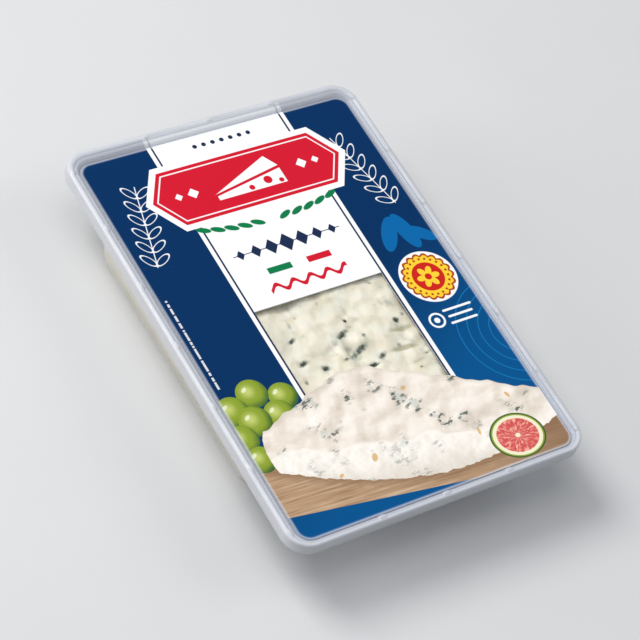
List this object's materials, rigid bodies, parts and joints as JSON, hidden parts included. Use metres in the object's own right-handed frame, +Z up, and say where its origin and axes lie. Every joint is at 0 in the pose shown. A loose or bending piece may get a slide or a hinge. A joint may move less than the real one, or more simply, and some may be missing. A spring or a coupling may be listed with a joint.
{
  "type": "sealed tray pack of blue cheese",
  "caption": "Flat see-through tray of soft blue-veined cheese, closed by a printed film with a clear window.",
  "frame": {"origin": "centre of the bounding box's bottom face, on the surface the pack stands on", "axes": "+Z up, +Y along the pack's length towards its far end, where the hollow comes closer to the rim, +X across the width"},
  "size_m": [0.107, 0.152, 0.0253],
  "materials": {
    "tray_plastic": "thin frosted see-through plastic, glossy on the rim",
    "cheese": "moist creamy cheese with grey-green veins and small pits",
    "printed_film": "smooth printed film in blue and white with a clear window"
  },
  "bodies": {
    "root": {"tray": "tray_plastic", "cheese": "cheese", "lid_film": "printed_film"}
  },
  "joints": []
}
